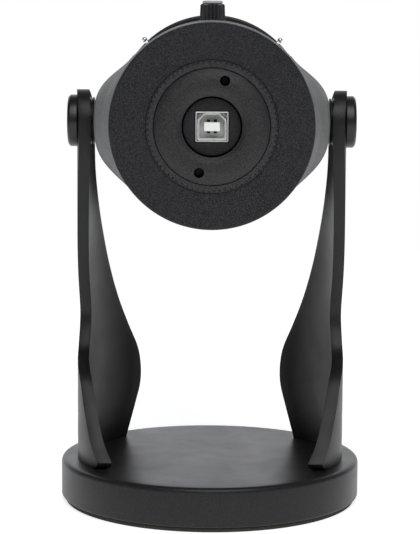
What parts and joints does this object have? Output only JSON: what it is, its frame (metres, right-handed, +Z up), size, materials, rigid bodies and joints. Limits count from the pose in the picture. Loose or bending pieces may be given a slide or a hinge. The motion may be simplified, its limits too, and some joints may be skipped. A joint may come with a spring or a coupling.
{
  "type": "desktop usb microphone",
  "caption": "Desk-top USB condenser microphone held in a leaf-armed yoke on a heavy round base, laid back so that its recessed socket end faces forward.",
  "frame": {"origin": "centre of the foot pad's underside, on the desk", "axes": "+Z up; X along the yoke's pivot axis; +Y from the stand's axis towards the microphone's grille in the stored pose, so the socket end faces -Y and the control panel faces +Z"},
  "size_m": [0.1216, 0.2132, 0.201],
  "materials": {
    "powder_coat": "black textured powder coat over die-cast metal",
    "base_paint": "black satin paint over a cast base",
    "arm_paint": "black satin fine-textured paint over steel",
    "black_plastic": "satin black moulded plastic",
    "black_rubber": "matt black foam rubber",
    "steel": "plain turned steel",
    "chrome": "polished chrome plate",
    "ballast_iron": "rough cast iron",
    "white_plastic": "white nylon",
    "gold_contact": "gold-flashed copper alloy",
    "circuit_board": "green solder mask on glass-epoxy board",
    "grille_steel": "black-painted woven wire",
    "foam": "open-cell dark foam",
    "lens": "clear green light pipe",
    "knob_cap": "satin grey cap"
  },
  "bodies": {
    "stand": {"base_casting": "base_paint", "ballast_disc": "ballast_iron", "foot_pad": "black_rubber", "left_arm": "arm_paint", "right_arm": "arm_paint", "left_spacer": "black_plastic", "right_spacer": "black_plastic", "left_arm_screw_front": "steel", "left_arm_screw_back": "steel", "right_arm_screw_front": "steel", "right_arm_screw_back": "steel"},
    "head": {"board_screw_lower": "steel", "board_screw_upper": "steel", "boss_screw_back": "steel", "boss_screw_front": "steel", "capsule_back": "gold_contact", "capsule_front": "gold_contact", "capsule_post": "black_plastic", "capsule_ring": "black_plastic", "codec_chip": "black_plastic", "collar_ring": "powder_coat", "control_panel": "black_plastic", "end_cap": "powder_coat", "foam_liner": "foam", "grille": "grille_steel", "grille_band": "powder_coat", "head_plate": "black_plastic", "head_screw_left": "steel", "head_screw_right": "steel", "headphone_jack": "steel", "housing": "powder_coat", "jack_ring": "black_plastic", "left_toggle_bushing": "steel", "left_toggle_switch": "black_plastic", "main_board": "circuit_board", "pot_body": "steel", "power_light": "lens", "right_toggle_bushing": "steel", "right_toggle_switch": "black_plastic", "socket_board": "circuit_board", "socket_boss": "powder_coat", "socket_plate": "black_plastic", "usb_contact_1": "gold_contact", "usb_contact_2": "gold_contact", "usb_contact_3": "gold_contact", "usb_contact_4": "gold_contact", "usb_shell": "steel", "usb_tongue": "white_plastic"},
    "left_clamp": {"left_clamp_washer": "white_plastic"},
    "left_clamp_knob": {"left_knob": "black_plastic", "left_pivot_bolt": "steel"},
    "right_clamp": {"right_clamp_washer": "white_plastic"},
    "right_clamp_knob": {"right_knob": "black_plastic", "right_pivot_bolt": "steel"},
    "level_control": {"level_knob": "black_plastic", "level_knob_cap": "knob_cap", "pot_shaft": "steel"},
    "left_lever": {"left_toggle": "chrome"},
    "right_lever": {"right_toggle": "chrome"},
    "mounting_ring": {"knurled_ring": "powder_coat"}
  },
  "joints": [
    {"name": "tilt", "type": "hinge", "parent": "stand", "child": "head", "pos_m": [0, 0, 0.154], "axis": [1, 0, 0], "range_deg": [-30, 180]},
    {"name": "left_clamp_travel", "type": "slide", "parent": "head", "child": "left_clamp", "axis": [-1, 0, 0], "range_m": [0, 0.001]},
    {"name": "left_clamp_turn", "type": "hinge", "parent": "left_clamp", "child": "left_clamp_knob", "pos_m": [-0.0565, 0, 0.154], "axis": [-1, 0, 0], "range_deg": [0, 360]},
    {"name": "right_clamp_travel", "type": "slide", "parent": "head", "child": "right_clamp", "axis": [1, 0, 0], "range_m": [0, 0.001]},
    {"name": "right_clamp_turn", "type": "hinge", "parent": "right_clamp", "child": "right_clamp_knob", "pos_m": [0.0565, 0, 0.154], "axis": [1, 0, 0], "range_deg": [0, 360]},
    {"name": "level_turn", "type": "hinge", "parent": "head", "child": "level_control", "pos_m": [0, -0.025, 0.1926], "axis": [0, 0, 1], "range_deg": [-135, 135]},
    {"name": "left_toggle_throw", "type": "hinge", "parent": "head", "child": "left_lever", "pos_m": [-0.02242, -0.025, 0.18139], "axis": [0.7738, 0, 0.6334], "range_deg": [0, 18]},
    {"name": "right_toggle_throw", "type": "hinge", "parent": "head", "child": "right_lever", "pos_m": [0.02242, -0.025, 0.18139], "axis": [0.7738, 0, -0.6334], "range_deg": [0, 18]},
    {"name": "mounting_ring_turn", "type": "hinge", "parent": "head", "child": "mounting_ring", "pos_m": [0, -0.0745, 0.154], "axis": [0, -1, 0], "continuous": true}
  ],
  "couplings": [
    {"joint": "left_clamp_turn", "follows": "left_clamp_travel", "rad_per_m": 6283.2},
    {"joint": "right_clamp_turn", "follows": "right_clamp_travel", "rad_per_m": 6283.2}
  ]
}
